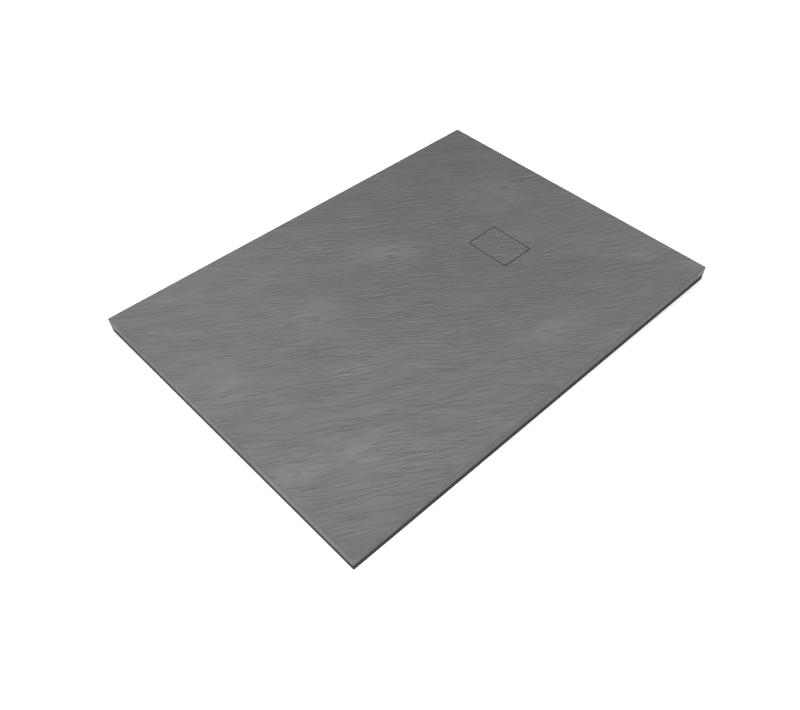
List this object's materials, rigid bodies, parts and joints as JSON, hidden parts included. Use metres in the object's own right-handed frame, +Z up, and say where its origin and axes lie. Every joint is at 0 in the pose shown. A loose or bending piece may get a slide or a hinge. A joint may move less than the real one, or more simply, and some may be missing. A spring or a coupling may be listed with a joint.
{
  "type": "shower tray",
  "caption": "Low rectangular shower tray with a slate-textured surface falling to a flush, lift-out drain cover over a clamped waste with a hair strainer.",
  "frame": {"origin": "centre of the tray's outline, on the plane of its underside", "axes": "+X along the length towards the drain end, +Y across the width, +Z up"},
  "size_m": [1.2, 0.9, 0.04],
  "materials": {
    "slate_facing": "matte",
    "casting": "matte",
    "rubber": "matte",
    "stainless": "satin",
    "moulding": "satin",
    "brass": "satin"
  },
  "bodies": {
    "tray": {"slate_skin": "slate_facing", "cast_base": "casting", "waste_flange": "stainless", "flange_screws": "stainless", "flange_gasket": "rubber", "waste_body": "moulding", "body_gasket": "rubber", "screw_inserts": "brass"},
    "cover": {"cover_skin": "slate_facing", "cover_plate": "casting", "cover_feet": "rubber"},
    "strainer": {"hair_strainer": "moulding", "strainer_seal": "rubber"}
  },
  "joints": [
    {"name": "cover_lift", "type": "slide", "parent": "tray", "child": "cover", "axis": [0, 0, 1], "range_m": [0, 0.15]},
    {"name": "strainer_lift", "type": "slide", "parent": "tray", "child": "strainer", "axis": [0, 0, 1], "range_m": [0, 0.075]}
  ],
  "couplings": [
    {"joint": "strainer_lift", "follows": "cover_lift", "ratio": 0.5}
  ]
}
